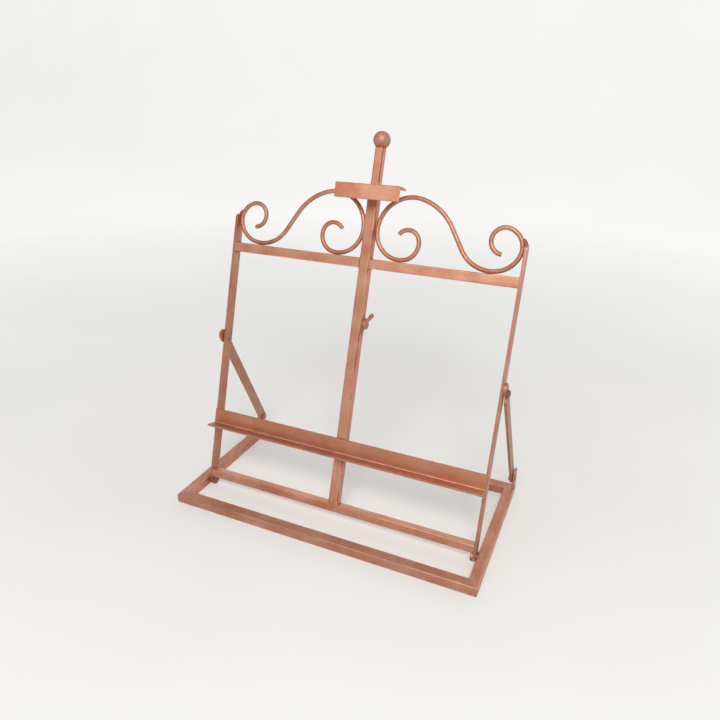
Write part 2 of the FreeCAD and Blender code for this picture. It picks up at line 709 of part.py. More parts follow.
def strut(label, side):
    """Flat bar from the lug's rivet up to a hook whose slot drops over the frame's stud.

    It is drawn upright about its own middle, then turned inward and forward to the
    stud, and its eye is bored square to the easel's side.
    """
    half = "(strut_width / 2)"
    low_x = "-strut_thick / 2"
    crown_z = f"{STRUT_LENGTH} + hook_length - {half}"
    bar = box(label + "_bar", (low_x, f"-{half}", 0), ("strut_thick", "strut_width", crown_z))
    foot = cylinder_x(label + "_foot", low_x, 0, 0, half, "strut_thick")
    crown = cylinder_x(label + "_crown", low_x, 0, crown_z, half, "strut_thick")
    blank = fuse(label + "_blank", [bar, foot, crown])

    radius = "(pin_radius + slot_gap)"
    seat = cylinder_x(label + "_seat", low_x, 0, STRUT_LENGTH, radius, "strut_thick")
    mouth = new_body(label + "_mouth")
    slope = "(slot_slope * 1deg)"
    front = "-strut_width"
    top = f"{STRUT_LENGTH} + {radius}"
    touch_y = f"{radius} * sin{slope}"
    touch_z = f"{STRUT_LENGTH} - {radius} * cos{slope}"
    fall = f"(strut_width + {touch_y}) * tan{slope}"
    pad(mouth, "YZ_Plane",
        [(0, top), (front, top), (front, f"{touch_z} - {fall}"), (touch_y, touch_z)],
        "strut_thick", middle=True)
    hooked = cut(label + "_hooked", blank, fuse(label + "_slot", [seat, mouth]))
    turn(hooked, FreeCAD.Vector(0, -side, 0), STRUT_SPLAY)

    leaned = group(label + "_leaned", [hooked])
    turn(leaned, FreeCAD.Vector(1, 0, 0), STRUT_ANGLE)
    foot_x = "strut_foot_x" if side > 0 else "-strut_foot_x"
    place(leaned, foot_x, RIVET_Y, "rivet_height")
    eye = cylinder_x(label + "_eye", f"{foot_x} - strut_thick", RIVET_Y, "rivet_height",
                     "pin_radius + running_gap", "2 * strut_thick")
    keep(cut(label, leaned, eye), label)


def build():
    base_frame()
    for name, side in (("left", -1), ("right", 1)):
        strut_lug(f"{name}_strut_lug", side)
        upright(f"{name}_upright", side)
        strut(f"{name}_strut", side)
    strut_rivets()
    spacer_washers()
    pivot_bolts()
    crossbars()
    centre_post()
    scrolls()
    ledge()
    strut_studs()
    screw_boss()
    mast()
    clamp_screw()


def check():
    """Stop if any object failed or any part is empty or not a valid shape."""
    for obj in doc.Objects:
        if "Invalid" in obj.State or "Error" in obj.State:
            raise RuntimeError(f"{obj.Name} did not compute: {obj.State}")
    for part in PARTS:
        if part.Shape.isNull() or not part.Shape.isValid() or not part.Shape.Solids:
            raise RuntimeError(f"{part.Label} has no valid solid")


build()
doc.recompute()
check()
os.makedirs("parts", exist_ok=True)
for part in PARTS:
    part.Shape.exportStep(f"parts/{part.Label}.step")
print(len(PARTS), "parts written")
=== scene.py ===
import json
import math
import random

import bmesh
import bpy
from mathutils import Matrix, Vector


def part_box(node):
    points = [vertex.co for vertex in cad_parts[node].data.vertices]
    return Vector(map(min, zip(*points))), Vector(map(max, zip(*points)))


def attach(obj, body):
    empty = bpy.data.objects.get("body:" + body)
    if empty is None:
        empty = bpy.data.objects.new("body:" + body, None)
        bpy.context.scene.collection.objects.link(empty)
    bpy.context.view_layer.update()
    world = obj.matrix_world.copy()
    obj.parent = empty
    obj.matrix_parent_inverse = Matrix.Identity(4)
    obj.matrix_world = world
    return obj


# Tabletop easel in satin copper paint: the CAD nodes with softened edges and painted
# metal, weld beads where the bars join, a pale studio and the camera.
# Metres, in the CAD frame: +X to the viewer's right, +Y to the back, +Z up.

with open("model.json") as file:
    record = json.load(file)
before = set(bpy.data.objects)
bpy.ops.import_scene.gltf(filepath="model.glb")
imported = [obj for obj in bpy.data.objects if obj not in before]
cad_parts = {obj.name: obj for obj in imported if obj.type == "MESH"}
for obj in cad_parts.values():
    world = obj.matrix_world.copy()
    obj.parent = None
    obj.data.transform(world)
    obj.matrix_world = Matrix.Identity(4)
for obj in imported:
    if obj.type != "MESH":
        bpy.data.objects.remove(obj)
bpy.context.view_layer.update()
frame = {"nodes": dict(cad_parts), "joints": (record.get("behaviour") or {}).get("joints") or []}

MM = 0.001                      # metres in a millimetre
SIDES = (("right", 1), ("left", -1))

# The back frame's own axes: across, up the frame from its pivot, and out of its back.
joints = {joint["name"]: joint for joint in frame["joints"]}
PIVOT = Vector(joints["frame_fold"]["pos_m"])
UP = Vector(joints["mast_slide"]["axis"]).normalized()
ACROSS = Vector((1, 0, 0))
BACK = UP.cross(ACROSS).normalized()


def on_frame(across, up, back):
    """The place in the CAD frame of a point given in the back frame's axes."""
    return PIVOT + across * ACROSS + up * UP + back * BACK


def leaned_points(node):
    """A node's points, each as across, up and back in the back frame's axes."""
    spots = []
    for vertex in frame["nodes"][node].data.vertices:
        offset = vertex.co - PIVOT
        spots.append(Vector((offset.x, offset.dot(UP), offset.dot(BACK))))
    return spots


def leaned_box(node):
    """A node's lowest and highest corners in the back frame's axes."""
    spots = leaned_points(node)
    low = Vector([min(spot[i] for spot in spots) for i in range(3)])
    high = Vector([max(spot[i] for spot in spots) for i in range(3)])
    return low, high


# ---------------------------------------------------------------- materials

def preset(node, values):
    """Set some of a node's inputs."""
    for socket, value in values.items():
        node.inputs[socket].default_value = value


class Graph:
    """A material's nodes, added and wired one at a time."""

    def __init__(self, name):
        self.material = bpy.data.materials.new(name)
        self.material.use_nodes = True
        self.tree = self.material.node_tree
        self.shader = self.tree.nodes["Principled BSDF"]

    def add(self, kind, links=None, values=None, **settings):
        """Add a node, with outputs of others linked to its inputs, or values on them."""
        node = self.tree.nodes.new(kind)
        for key, value in settings.items():
            setattr(node, key, value)
        for socket, source in (links or {}).items():
            self.tree.links.new(source, node.inputs[socket])
        preset(node, values or {})
        return node

    def link(self, source, socket):
        """Link an output to the shader."""
        self.tree.links.new(source, self.shader.inputs[socket])

    def object_space(self):
        """Coordinates that stay with the object when its body moves."""
        return self.add("ShaderNodeTexCoord").outputs["Object"]

    def noise(self, coordinates, scale, detail, roughness):
        node = self.add("ShaderNodeTexNoise", {"Vector": coordinates},
                        {"Scale": scale, "Detail": detail, "Roughness": roughness})
        return node.outputs["Fac"]

    def spread(self, value, low, high, to_low=0.0, to_high=1.0):
        """Map a value between two limits onto another range."""
        node = self.add("ShaderNodeMapRange", {"Value": value},
                        {"From Min": low, "From Max": high,
                         "To Min": to_low, "To Max": to_high})
        return node.outputs["Result"]

    def calculate(self, operation, *values):
        node = self.add("ShaderNodeMath", dict(enumerate(values)), operation=operation)
        return node.outputs["Value"]

    def facing(self, direction):
        """How squarely the surface faces a direction: 1 towards it, -1 away from it."""
        normal = self.add("ShaderNodeTexCoord").outputs["Normal"]
        node = self.add("ShaderNodeVectorMath", {0: normal}, {1: direction},
                        operation="DOT_PRODUCT")
        return node.outputs["Value"]

    def blend(self, factor, first, second):
        """Mix two colours, each a colour or another node's output."""
        node = self.add("ShaderNodeMix", {"Factor": factor}, data_type="RGBA")
        colours = {socket.name: socket for socket in node.inputs if socket.type == "RGBA"}
        for name, value in (("A", first), ("B", second)):
            if isinstance(value, bpy.types.NodeSocket):
                self.tree.links.new(value, colours[name])
            else:
                colours[name].default_value = (*value, 1.0)
        return [socket for socket in node.outputs if socket.type == "RGBA"][0]

    def layer(self, under, over, mask, low, high, share=1.0):
        """Lay a colour over another as a mask rises from low to high, up to a share."""
        return self.blend(self.spread(mask, low, high, to_high=share), under, over)

    def bump(self, height, strength, depth):
        node = self.add("ShaderNodeBump", {"Height": height},
                        {"Strength": strength, "Distance": depth})
        self.link(node.outputs["Normal"], "Normal")


def linear(red, green, blue):
    """A colour given in 0 to 255 screen values, as linear light."""
    def channel(value):
        value /= 255
        return value / 12.92 if value <= 0.04045 else ((value + 0.055) / 1.055) ** 2.4
    return tuple(channel(value) for value in (red, green, blue))


# COPPER_EDGE gives the scratches and the painted highlight on rounded corners and edges;
# COPPER_BROWN and COPPER_DULL give nicks, tarnish and chips, and also painted dark shade.
COPPER = linear(199, 142, 115)
COPPER_PINK = linear(209, 154, 131)
COPPER_RED = linear(186, 116, 84)
COPPER_DULL = linear(150, 116, 100)
COPPER_BROWN = linear(92, 60, 44)
COPPER_EDGE = linear(224, 168, 140)
UP_FACE_SHADE = 0.62               # painted shade on the faces that look up the back frame, as a share of the dulled paint

PAINT_METALLIC = 0.55
WELD_METALLIC = 0.5

# How far a noise is squeezed along the grain, the smaller the longer its marks.
STREAK_SQUEEZE = 0.05
SCRATCH_SQUEEZE = 0.012
CHIP_AND_SHADE_SQUEEZE = 0.15
EDGE_CHIP_AND_SHADE_SQUEEZE = 0.12

# The cosine between the surface and the nearest face's normal, on a face and on the
# rounding between two faces.
FACE_COSINE = 0.985
CORNER_COSINE = 0.85


def shades(tone, *colours):
    """The colours, each made lighter or darker by a factor."""
    return [[tone * value for value in colour] for colour in colours]


def along_grain(graph, coordinates, direction, squeeze):
    """Coordinates stretched along a direction, for streaks and scratches."""
    turn = Vector((1, 0, 0)).rotation_difference(Vector(direction)).to_euler()
    turned = graph.add("ShaderNodeMapping", {"Vector": coordinates}, {"Rotation": turn},
                       vector_type="TEXTURE")
    stretched = graph.add("ShaderNodeMapping", {"Vector": turned.outputs["Vector"]},
                          {"Scale": (squeeze, 1.0, 1.0)})
    return stretched.outputs["Vector"]


def corner_share(graph, axes):
    """0 where the surface is square to one of the axes, 1 on the rounding between faces."""
    squareness = None
    for axis in axes:
        size = graph.calculate("ABSOLUTE", graph.facing(axis))
        if squareness is None:
            squareness = size
        else:
            squareness = graph.calculate("MAXIMUM", squareness, size)
    return graph.spread(squareness, FACE_COSINE, CORNER_COSINE)


def copper_paint(name, grain, tone, roughness=0.42, coarse=1.0, dull=0.35, axes=None,
                 corner_highlight_and_rub=0.7, chips_and_shade=0.35, up_face_shade=0.0, ruddy=0.0):
    """Satin copper paint: soft clouds of colour, rolling streaks along the grain, duller
    patches, fine scratches and dark nicks.

    With the axes of a bar's faces, its rounded corners get a painted highlight in places
    and a painted dark shade in others, laid like rubbed and chipped paint. The faces that
    look up the back frame can take painted shade, and ruddy is how far the colour keeps to its
    red.
    """
    graph = Graph(name)
    space = graph.object_space()
    rolled = along_grain(graph, space, grain, STREAK_SQUEEZE)
    scratched = along_grain(graph, space, grain, SCRATCH_SQUEEZE)

    clouds = graph.noise(space, scale=34.0 * coarse, detail=3.0, roughness=0.6)
    patches = graph.noise(space, scale=110.0 * coarse, detail=4.0, roughness=0.6)
    tarnish = graph.noise(rolled, scale=300.0 * coarse, detail=5.0, roughness=0.7)
    streaks = graph.noise(rolled, scale=900.0, detail=4.0, roughness=0.65)
    scratches = graph.noise(scratched, scale=2200.0, detail=2.0, roughness=0.5)
    nicks = graph.noise(space, scale=380.0, detail=3.0, roughness=0.6)
    flakes = graph.noise(space, scale=3600.0, detail=2.0, roughness=0.5)

    plain, pink, red, dulled, brown, bright = shades(
        tone, COPPER, COPPER_PINK, COPPER_RED, COPPER_DULL, COPPER_BROWN, COPPER_EDGE)
    colour = graph.layer(red, pink, clouds, 0.36, 0.64, share=1 - ruddy)
    colour = graph.layer(colour, plain, patches, 0.30, 0.70, share=0.6 * (1 - ruddy))
    colour = graph.layer(colour, dulled, tarnish, 0.50, 0.72, share=dull)
    colour = graph.layer(colour, red, streaks, 0.45, 0.80, share=0.35)
    colour = graph.layer(colour, bright, scratches, 0.68, 0.76, share=0.35)
    colour = graph.layer(colour, brown, nicks, 0.68, 0.74, share=0.7)
    # Painted shade: the faces that look up the back frame are darkened by a share.
    if up_face_shade:
        up_face_shaded = [UP_FACE_SHADE * value for value in dulled]
        colour = graph.layer(colour, up_face_shaded, graph.facing(UP), 0.8, 0.97, share=up_face_shade)
    # Painted highlight and painted dark shade on the rounded corners, laid in noise patches like
    # rubbed and chipped paint.
    if axes:
        corner = corner_share(graph, axes)
        chip_and_shade_noise = graph.noise(along_grain(graph, space, grain, CHIP_AND_SHADE_SQUEEZE),
                            scale=160.0, detail=5.0, roughness=0.7)
        highlight_and_rub_mask = graph.spread(patches, 0.2, 0.5, to_high=corner_highlight_and_rub)
        chip_and_shade_mask = graph.spread(chip_and_shade_noise, 0.48, 0.56, to_high=chips_and_shade)
        colour = graph.blend(graph.calculate("MULTIPLY", corner, highlight_and_rub_mask), colour, bright)
        colour = graph.blend(graph.calculate("MULTIPLY", corner, chip_and_shade_mask), colour, brown)
    graph.link(colour, "Base Color")

    streak_gloss = graph.spread(streaks, 0.3, 0.7, to_low=-0.05, to_high=0.05)
    patch_gloss = graph.spread(tarnish, 0.4, 0.7, to_low=roughness - 0.04,
                               to_high=roughness + 0.12)
    graph.link(graph.calculate("ADD", streak_gloss, patch_gloss), "Roughness")

    grains = graph.calculate("ADD", streaks, flakes)
    graph.bump(graph.calculate("ADD", grains, patches), strength=0.4, depth=0.08 * MM)
    preset(graph.shader, {"Metallic": PAINT_METALLIC, "Coat Weight": 0.05,
                          "Coat Roughness": 0.35})
    return graph.material


def edge_wear_highlight_shade(name, tone=1.0, grain=None, chips_and_shade=0.66):
    """The rounded edges: a painted highlight in places, like rubbed paint, and painted dark
    shade mixed with dull and chipped paint in others.

    With a grain the dark marks are long ones that run along it; a noise level sets
    where they start.
    """
    graph = Graph(name)
    space = graph.object_space()
    chip_space = space
    if grain is not None:
        chip_space = along_grain(graph, space, grain, EDGE_CHIP_AND_SHADE_SQUEEZE)
    edge_highlight_and_rub = graph.noise(space, scale=150.0, detail=4.0, roughness=0.65)
    chip_and_shade_noise = graph.noise(chip_space, scale=210.0, detail=5.0, roughness=0.7)
    grains = graph.noise(space, scale=1400.0, detail=2.0, roughness=0.5)
    plain, bright, brown, dulled = shades(
        tone, COPPER, COPPER_EDGE, COPPER_BROWN, COPPER_DULL)
    # Painted highlight on the edges, then painted dark shade mixed with chips, then fine brown
    # specks.
    colour = graph.layer(plain, bright, edge_highlight_and_rub, 0.42, 0.66)
    colour = graph.layer(colour, dulled, chip_and_shade_noise, chips_and_shade - 0.18, chips_and_shade - 0.04, share=0.8)
    colour = graph.layer(colour, brown, chip_and_shade_noise, chips_and_shade - 0.04, chips_and_shade + 0.03, share=0.85)
    colour = graph.layer(colour, brown, grains, 0.66, 0.76, share=0.5)
    graph.link(colour, "Base Color")
    graph.link(graph.spread(edge_highlight_and_rub, 0.3, 0.7, to_low=0.50, to_high=0.36), "Roughness")
    graph.bump(grains, strength=0.3, depth=0.05 * MM)
    preset(graph.shader, {"Metallic": PAINT_METALLIC})
    return graph.material


def weld_metal():
    """Painted weld: darker, rough, with fine ripples, browner where its lumps are low and redder
    where they rise.
    """
    graph = Graph("copper_weld")
    space = graph.object_space()
    lumps = graph.noise(space, scale=520.0, detail=4.0, roughness=0.6)
    grit = graph.noise(space, scale=2600.0, detail=3.0, roughness=0.6)
    colour = graph.layer(COPPER_BROWN, COPPER_RED, lumps, 0.35, 0.62)
    colour = graph.layer(colour, COPPER_DULL, grit, 0.5, 0.8, share=0.5)
    graph.link(colour, "Base Color")
    graph.link(graph.spread(grit, 0.3, 0.7, to_low=0.42, to_high=0.62), "Roughness")
    graph.bump(graph.calculate("ADD", lumps, grit), strength=0.6, depth=0.15 * MM)
    preset(graph.shader, {"Metallic": WELD_METALLIC})
    return graph.material


STUDIO_GLOW = (1.0, 0.995, 0.985, 1.0)


def studio_floor():
    """Pale matt floor that glows a little more with its distance from the easel."""
    graph = Graph("studio_floor")
    space = graph.object_space()
    cloud = graph.noise(space, scale=2.5, detail=3.0, roughness=0.5)
    colour = graph.layer(linear(203, 202, 199), linear(209, 208, 206), cloud, 0.3, 0.7)
    graph.link(colour, "Base Color")
    preset(graph.shader, {"Roughness": 0.85, "Specular IOR Level": 0.2,
                          "Emission Color": STUDIO_GLOW})
    distance = graph.add("ShaderNodeVectorMath", {0: space}, operation="LENGTH")
    glow = graph.spread(distance.outputs["Value"], 0.2, 1.8, to_low=0.25, to_high=0.56)
    graph.link(glow, "Emission Strength")
    return graph.material


def studio_wall():
    """A wall that shows by its own even glow."""
    graph = Graph("studio_wall")
    cloud = graph.noise(graph.object_space(), scale=0.6, detail=2.0, roughness=0.5)
    glow = graph.spread(cloud, 0.3, 0.7, to_low=0.72, to_high=0.78)
    graph.link(glow, "Emission Strength")
    preset(graph.shader, {"Base Color": (0.05, 0.05, 0.05, 1.0), "Roughness": 0.9,
                          "Emission Color": STUDIO_GLOW})
    return graph.material


# ---------------------------------------------------------------- CAD nodes

ALONG_X = (1, 0, 0)
ALONG_Y = (0, 1, 0)
ALONG_STRUT = (0, -0.45, 0.89)
LEVEL_FACES = (ALONG_X, ALONG_Y, (0, 0, 1))
LEANED_FACES = (ACROSS, UP, BACK)

# Each part's tone makes a lighter or darker copy of the same copper paint, painted light and
# shade set to how each part is lit: lighter on the clamp, mast, crossbars, post and ledge,
# darker on the struts, uprights, base bars, wires, ball and fasteners.
paint_across = copper_paint("copper_bar_across", ALONG_X, tone=0.85, axes=LEVEL_FACES)
paint_deep = copper_paint("copper_bar_deep", ALONG_Y, tone=0.98, axes=LEVEL_FACES)
paint_cross = copper_paint("copper_crossbar", ALONG_X, tone=1.12, axes=LEANED_FACES)
paint_up = copper_paint("copper_bar_up", UP, tone=0.86)
# The post's rounded corners take mostly painted dark shade and little painted highlight.
paint_post = copper_paint("copper_post", UP, tone=1.06, axes=LEANED_FACES, corner_highlight_and_rub=0.2,
                          chips_and_shade=0.9)
paint_strut = copper_paint("copper_strut", ALONG_STRUT, tone=0.8)
# The ledge plate takes a strong painted highlight on its rounded corners, and painted shade on
# the faces that look up the back frame.
paint_plate = copper_paint("copper_plate", ALONG_X, tone=1.05, axes=LEANED_FACES,
                           corner_highlight_and_rub=1.0, chips_and_shade=0.2, up_face_shade=0.2, ruddy=0.6)
paint_clamp = copper_paint("copper_clamp", ALONG_X, tone=1.26)
paint_wire = copper_paint("copper_wire", ALONG_X, tone=0.9, roughness=0.46, coarse=1.4,
                          dull=0.6)
paint_mast = copper_paint("copper_mast", UP, tone=1.16, roughness=0.46)
paint_ball = copper_paint("copper_ball", UP, tone=0.9, roughness=0.56)
paint_small = copper_paint("copper_fastener", ALONG_X, tone=0.42, roughness=0.34,
                           coarse=2.0, dull=0.7)
paint_handle = copper_paint("copper_handle", ALONG_X, tone=0.78, coarse=2.0, dull=0.8)
# The edges' painted highlight and shade: the mast's have long dark marks, partly chips and
# partly painted shade; the ledge's and the fasteners' are darker, as painted shade.
edge_paint = edge_wear_highlight_shade("copper_edge")
edge_mast = edge_wear_highlight_shade("copper_mast_edge", tone=0.9, grain=UP, chips_and_shade=0.5)
edge_plate = edge_wear_highlight_shade("copper_plate_edge", tone=0.72)
edge_small = edge_wear_highlight_shade("copper_fastener_edge", tone=0.55)
weld_paint = weld_metal()

BARS = {
    "base_front_bar": paint_across, "base_back_bar": paint_across,
    "base_left_bar": paint_deep, "base_right_bar": paint_deep,
    "lower_crossbar": paint_cross,
    "upper_crossbar_left": paint_cross, "upper_crossbar_right": paint_cross,
    "left_upright": paint_up, "right_upright": paint_up, "center_post": paint_post,
    "slide_bar": paint_mast, "ledge_angle": paint_plate, "clamp_angle": paint_clamp,
    "left_strut": paint_strut, "right_strut": paint_strut,
    "left_strut_lug": paint_up, "right_strut_lug": paint_up,
}
SMOOTH = {
    "left_scroll": paint_wire, "right_scroll": paint_wire, "ball_finial": paint_ball,
}
SMALL = {
    "pivot_bolts": paint_small, "spacer_washers": paint_small, "strut_rivets": paint_handle,
    "strut_studs": paint_small, "stud_collars": paint_small, "screw_shank": paint_small,
    "screw_boss": paint_handle, "wing_handle": paint_handle,
}

# The rounding of each kind of edge. Two bars have an edge paint or a rounding of their own.
BAR_EDGE = 0.55 * MM
MAST_EDGE = 0.9 * MM
SMALL_EDGE = 0.3 * MM
OWN_EDGES = {"slide_bar": (edge_mast, MAST_EDGE), "ledge_angle": (edge_plate, BAR_EDGE)}
SHARP_ANGLE = math.radians(32)
FLAT_ANGLE = math.radians(0.5)
SAME_POINT = 0.002 * MM
EDGE_SEGMENTS = 3


def paint(node, body_paint, edge=None):
    """Give a node its paint, and another for its rounded edges."""
    materials = frame["nodes"][node].data.materials
    materials.clear()
    materials.append(body_paint)
    if edge:
        materials.append(edge)


def soften(node, width):
    """Round a node's sharp edges, with the edge paint on the rounding."""
    obj = frame["nodes"][node]
    join = obj.modifiers.new("join_points", "WELD")
    join.merge_threshold = SAME_POINT
    flat = obj.modifiers.new("whole_faces", "DECIMATE")
    flat.decimate_type = "DISSOLVE"
    flat.angle_limit = FLAT_ANGLE
    bevel = obj.modifiers.new("round_edges", "BEVEL")
    bevel.width = width
    bevel.segments = EDGE_SEGMENTS
    bevel.limit_method = "ANGLE"
    bevel.angle_limit = SHARP_ANGLE
    bevel.harden_normals = True
    bevel.use_clamp_overlap = True
    bevel.material = 1
    normals = obj.modifiers.new("face_normals", "WEIGHTED_NORMAL")
    normals.keep_sharp = True


def dress_nodes():
    """Paint every CAD node, and round all but the smooth ones."""
    for node, material in BARS.items():
        edge, width = OWN_EDGES.get(node, (edge_paint, BAR_EDGE))
        paint(node, material, edge)
        soften(node, width)
    for node, material in SMOOTH.items():
        paint(node, material)
    for node, material in SMALL.items():
        paint(node, material, edge_small)
        soften(node, SMALL_EDGE)


# ---------------------------------------------------------------- new meshes

def skin(mesh, rings):
    """Join each ring of points to the next with faces."""
    for first, second in zip(rings, rings[1:]):
        for k in range(len(first)):
            after = (k + 1) % len(first)
            mesh.faces.new((first[k], first[after], second[after], second[k]))


def new_object(name, mesh, material):
    """Make a smooth object of a finished mesh."""
    data = bpy.data.meshes.new(name)
    mesh.to_mesh(data)
    mesh.free()
    for face in data.polygons:
        face.use_smooth = True
    data.materials.append(material)
    obj = bpy.data.objects.new(name, data)
    bpy.context.scene.collection.objects.link(obj)
    return obj


# ---------------------------------------------------------------- welds

BEAD_STEP = 0.35 * MM
BEAD_SIDES = 10
BEAD_LEAST_STEPS = 6
RING_LEAST_STEPS = 24
BEAD_RIPPLE = 0.10
RING_RIPPLE = 0.12
RIPPLE_LENGTH = 1.5 * MM
WOBBLE = (0.95, 1.05)

# A bead is widest over its middle half, and narrows to a share of that at its tips.
TAPERS = 4
TIP_SIZE = 0.35

# Radii of the beads by place, and how far the long ones stop short of a bar's corners.
BAR_BEAD = 0.9 * MM
TACK_BEAD = 0.8 * MM
FOOT_BEAD = 1.3 * MM
SCROLL_BEAD = 1.2 * MM
CROWN_BEAD = 1.6 * MM
BRIDGE_BEAD = 2.0 * MM
BOSS_BEAD = 0.45 * MM
BALL_BEAD = 0.6 * MM
SHORT_OF_CORNER = MM

# How far out of the boss's side and the mast's faces their ring beads have their middle.
ROUND_BOSS = 0.1 * MM
ROUND_MAST = 0.3 * MM

# Heights on a scroll's outer curl, from the upright's top, that its crown welds reach.
CURL_RISES = (-8 * MM, -1 * MM, 5 * MM)

dice = random.Random(7)


def weld_bead(name, start, end, radius, body):
    """A rippled bead from start to end, half sunk in the metal."""
    start, end = Vector(start), Vector(end)
    run = end - start
    steps = max(BEAD_LEAST_STEPS, round(run.length / BEAD_STEP))
    along = run.normalized()
    side = along.orthogonal().normalized()
    third = along.cross(side)
    mesh = bmesh.new()
    rings = []
    phase = dice.uniform(0, math.tau)
    for step in range(steps + 1):
        share = step / steps
        middle = start + run * share
        wave = math.sin(math.tau * share * run.length / RIPPLE_LENGTH + phase)
        taper = min(1.0, TAPERS * share, TAPERS * (1 - share))
        tapered = TIP_SIZE + (1 - TIP_SIZE) * math.sqrt(taper)
        size = radius * (1 + BEAD_RIPPLE * wave) * tapered
        ring = []
        for k in range(BEAD_SIDES):
            angle = math.tau * k / BEAD_SIDES
            wobble = size * dice.uniform(*WOBBLE)
            offset = side * math.cos(angle) * wobble + third * math.sin(angle) * wobble
            ring.append(mesh.verts.new(middle + offset))
        rings.append(ring)
    skin(mesh, rings)
    mesh.faces.new(list(reversed(rings[0])))
    mesh.faces.new(rings[-1])
    add_weld(name, mesh, body, weld_paint)


def weld_ring(name, centre, axis, ring_radius, radius, body, material):
    """A rippled bead that runs round the boss or under the ball."""
    centre, axis = Vector(centre), Vector(axis).normalized()
    side = axis.orthogonal().normalized()
    third = axis.cross(side)
    steps = max(RING_LEAST_STEPS, round(math.tau * ring_radius / BEAD_STEP))
    mesh = bmesh.new()
    rings = []
    for step in range(steps):
        turn = math.tau * step / steps
        outward = side * math.cos(turn) + third * math.sin(turn)
        wave = math.sin(turn * ring_radius / RIPPLE_LENGTH * math.tau)
        size = radius * (1 + RING_RIPPLE * wave) * dice.uniform(*WOBBLE)
        ring = []
        for k in range(BEAD_SIDES):
            angle = math.tau * k / BEAD_SIDES
            offset = outward * math.cos(angle) + axis * math.sin(angle)
            ring.append(mesh.verts.new(centre + outward * ring_radius + offset * size))
        rings.append(ring)
    skin(mesh, rings + rings[:1])
    add_weld(name, mesh, body, material)


def add_weld(name, mesh, body, material):
    """Add a bead that rides on a body, in the given material."""
    bmesh.ops.recalc_face_normals(mesh, faces=mesh.faces)
    obj = new_object(name, mesh, material)
    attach(obj, body)


def leaned_bead(name, start, end, radius, body="easel_frame"):
    """A bead between two points given in the back frame's axes."""
    weld_bead(name, on_frame(*start), on_frame(*end), radius, body)


def frame_welds():
    """Beads of the back frame: crossbars to uprights and post, scrolls, boss."""
    inner = leaned_box("right_upright")[0].x
    post_low, post_high = leaned_box("center_post")
    at_upright = ("upright", inner)
    at_post = ("post", post_high.x)
    for tag, node, places in (("low", "lower_crossbar", [at_upright]),
                              ("top", "upper_crossbar_right", [at_upright, at_post])):
        low, high = leaned_box(node)
        for place, across in places:
            for side_tag, sign in SIDES:
                for edge_tag, up in (("over", high.y), ("under", low.y)):
                    leaned_bead(f"weld_{tag}_{place}_{side_tag}_{edge_tag}",
                                (sign * across, up, low.z + SHORT_OF_CORNER),
                                (sign * across, up, high.z - SHORT_OF_CORNER), BAR_BEAD)
    for side_tag, sign in SIDES:
        across = sign * post_high.x
        leaned_bead(f"weld_post_foot_{side_tag}",
                    (across, post_low.y, post_low.z + SHORT_OF_CORNER),
                    (across, post_low.y, post_high.z - SHORT_OF_CORNER), BAR_BEAD)
    scroll_welds("right_scroll", inner, post_high.x)
    scroll_welds("left_scroll", -inner, -post_high.x)
    boss_low, boss_high = leaned_box("screw_boss")
    middle = (boss_low + boss_high) / 2
    ring_radius = (boss_high.y - boss_low.y) / 2 + ROUND_BOSS
    weld_ring("weld_boss", on_frame(boss_low.x, middle.y, middle.z), ACROSS, ring_radius,
              BOSS_BEAD, "easel_frame", paint_handle)


def scroll_welds(node, upright_face, post_face):
    """Small beads where a scroll touches the crossbar, the upright and the post."""
    foot_half = 3 * MM
    upright_half = 2.5 * MM
    post_half = 3 * MM
    spots = leaned_points(node)
    bottom = min(spot.y for spot in spots)
    middle = (upright_face + post_face) / 2
    outer = [spot for spot in spots if abs(spot.x) > abs(middle)]
    inner = [spot for spot in spots if abs(spot.x) <= abs(middle)]
    for tag, half in (("outer", outer), ("inner", inner)):
        lowest = min(half, key=lambda spot: spot.y)
        if lowest.y <= bottom + MM:
            leaned_bead(f"weld_{node}_{tag}_foot", (lowest.x - foot_half, bottom, 0),
                        (lowest.x + foot_half, bottom, 0), FOOT_BEAD)
    widest = max(outer, key=lambda spot: abs(spot.x))
    leaned_bead(f"weld_{node}_upright", (widest.x, widest.y - upright_half, 0),
                (widest.x, widest.y + upright_half, 0), SCROLL_BEAD)
    crown_welds(node, outer, upright_face)
    nearest = min(inner, key=lambda spot: abs(spot.x))
    leaned_bead(f"weld_{node}_post", (nearest.x, nearest.y - post_half, 0),
                (nearest.x, nearest.y + post_half, 0), SCROLL_BEAD)


def crown_welds(node, spots, upright_face):
    """The weld that fills the wedge between an upright's top and the scroll's curl.

    Its first bead runs down the curl, and the second bridges the upright's top to it.
    """
    crown = leaned_box("right_upright")[1].y
    sign = 1 if upright_face > 0 else -1
    sunk = 0.4 * MM
    on_top = 1.4 * MM
    on_curl = []
    for rise in CURL_RISES:
        level = [abs(spot.x) for spot in spots if abs(spot.y - crown - rise) < MM]
        on_curl.append((sign * (max(level) - sunk), crown + rise, 0))
    low, middle, high = on_curl
    top = (upright_face + sign * on_top, crown - MM, 0)
    leaned_bead(f"weld_{node}_crown", low, middle, CROWN_BEAD)
    leaned_bead(f"weld_{node}_bridge", top, high, BRIDGE_BEAD)


def ledge_welds():
    """Tack welds on the ledge's edges where it crosses the uprights and the post."""
    near_edge = 2.0 * MM
    far_end = 6.0 * MM
    beside = 0.1 * MM
    low, high = leaned_box("ledge_angle")
    post_side = leaned_box("center_post")[1].x + beside
    upright_side = leaned_box("right_upright")[0].x - beside
    edges = (("over", high.y, -1), ("under", low.y, 1))
    for side_tag, sign in SIDES:
        for tag, across in (("post", post_side), ("upright", upright_side)):
            for edge_tag, edge, inward in edges:
                leaned_bead(f"weld_ledge_{tag}_{side_tag}_{edge_tag}",
                            (sign * across, edge + inward * near_edge, high.z),
                            (sign * across, edge + inward * far_end, high.z), TACK_BEAD)


